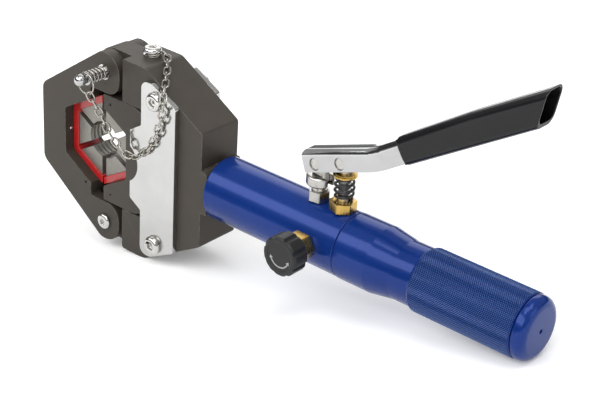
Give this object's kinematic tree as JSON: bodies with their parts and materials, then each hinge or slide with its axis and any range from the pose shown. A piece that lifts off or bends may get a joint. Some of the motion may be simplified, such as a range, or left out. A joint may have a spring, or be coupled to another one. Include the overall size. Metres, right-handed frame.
{
  "type": "hydraulic hose crimping tool",
  "caption": "Hand pumped hydraulic crimper: dark steel head with a swing open jaw and red hexagonal dies, blue cylinder and handle, chrome pump lever, release knob and chained lock pin.",
  "frame": {"origin": "centre of the crimping die, on the ram axis and midway between the two faces of the head", "axes": "+X along the ram, from the die towards the handle; +Y away from the side that has the lock pin and the release knob; +Z towards the pump lever"},
  "size_m": [0.4214, 0.0722, 0.2297],
  "materials": {
    "head_steel": "forged steel with a dark oxide finish and bright worn edges",
    "plate_steel": "bright ground and polished steel plate",
    "bright_screws": "bright plated fasteners and balls",
    "chain_chrome": "plated steel wire",
    "chrome_plate": "polished chrome plate",
    "machined_steel": "turned and ground steel",
    "die_steel": "milled tool steel",
    "spring_steel": "blackened spring wire",
    "red_paint": "glossy red coating",
    "blue_paint": "glossy metallic blue paint",
    "brass": "machined brass",
    "bronze": "bearing bronze",
    "seal_rubber": "black oil proof rubber",
    "grip_plastic": "black dipped vinyl, semi gloss",
    "knob_plastic": "black moulded plastic"
  },
  "bodies": {
    "tool_body": {"head_frame": "head_steel", "side_plate_near": "plate_steel", "side_plate_far": "plate_steel", "plate_screws": "bright_screws", "chain_screw": "bright_screws", "chain_washer": "bright_screws", "chain_upper": "chain_chrome", "rod_bush": "bronze", "cylinder_barrel": "blue_paint", "barrel_seal": "seal_rubber", "return_spring": "spring_steel", "pump_block": "machined_steel", "block_seals": "seal_rubber", "check_balls": "bright_screws", "gland_nut": "brass", "plunger_seal": "seal_rubber", "plunger_spring": "spring_steel", "fulcrum_post": "chrome_plate", "fulcrum_nut": "chrome_plate", "link_pin": "chrome_plate", "release_bush": "brass", "release_ball": "bright_screws", "handle_tube": "blue_paint", "oil_bladder": "seal_rubber", "bladder_clamp": "machined_steel", "end_cap": "blue_paint", "cap_seal": "seal_rubber"},
    "jaw": {"swing_jaw": "head_steel", "hinge_pin": "bright_screws", "hinge_pin_screw": "bright_screws", "front_die_shell": "red_paint", "front_die_segments": "die_steel", "jaw_detents": "bright_screws", "lock_washer": "bright_screws", "lock_spring": "chain_chrome", "chain_lower": "chain_chrome"},
    "lock": {"lock_pin": "chrome_plate", "lock_ball": "chrome_plate", "split_ring": "chain_chrome"},
    "ram": {"ram_block": "head_steel", "rear_die_shell": "red_paint", "rear_die_segments": "die_steel", "ram_detents": "bright_screws", "piston_rod": "machined_steel", "piston": "machined_steel", "piston_seal": "seal_rubber", "piston_nut": "machined_steel"},
    "link": {"fulcrum_link": "chrome_plate"},
    "pump_plunger": {"plunger": "machined_steel", "spring_cap": "brass"},
    "lever": {"lever_arm": "chrome_plate", "lever_grip": "grip_plastic", "fulcrum_pin": "machined_steel", "plunger_pin": "machined_steel"},
    "release": {"release_spindle": "machined_steel", "release_knob": "knob_plastic"}
  },
  "joints": [
    {"name": "jaw_swing", "type": "hinge", "parent": "tool_body", "child": "jaw", "pos_m": [0.01, 0, -0.059], "axis": [0, -1, 0], "range_deg": [0, 95]},
    {"name": "lock_pin_slide", "type": "slide", "parent": "jaw", "child": "lock", "axis": [0, 1, 0], "range_m": [-0.008, 0.009], "deforming": ["lock_spring", "chain_lower"]},
    {"name": "ram_slide", "type": "slide", "parent": "tool_body", "child": "ram", "axis": [1, 0, 0], "range_m": [-0.0012, 0.014], "deforming": ["return_spring"]},
    {"name": "link_tilt", "type": "hinge", "parent": "tool_body", "child": "link", "pos_m": [0.19202, 0, 0.0375], "axis": [0, 1, 0], "range_deg": [-7.5, 0]},
    {"name": "lever_pump", "type": "hinge", "parent": "link", "child": "lever", "pos_m": [0.19202, 0, 0.05], "axis": [0, 1, 0], "range_deg": [0, 30], "stiffness_Nm_per_rad": 2, "springref_deg": -20.05},
    {"name": "plunger_stroke", "type": "slide", "parent": "tool_body", "child": "pump_plunger", "axis": [0, 0, -1], "range_m": [0, 0.0087], "deforming": ["plunger_spring"]},
    {"name": "release_turn", "type": "hinge", "parent": "tool_body", "child": "release", "pos_m": [0.199, -0.03, 0], "axis": [0, -1, 0], "range_deg": [0, 180]}
  ],
  "couplings": [
    {"joint": "link_tilt", "follows": "lever_pump", "ratio": -0.245},
    {"joint": "plunger_stroke", "follows": "lever_pump", "m_per_rad": 0.015978}
  ]
}
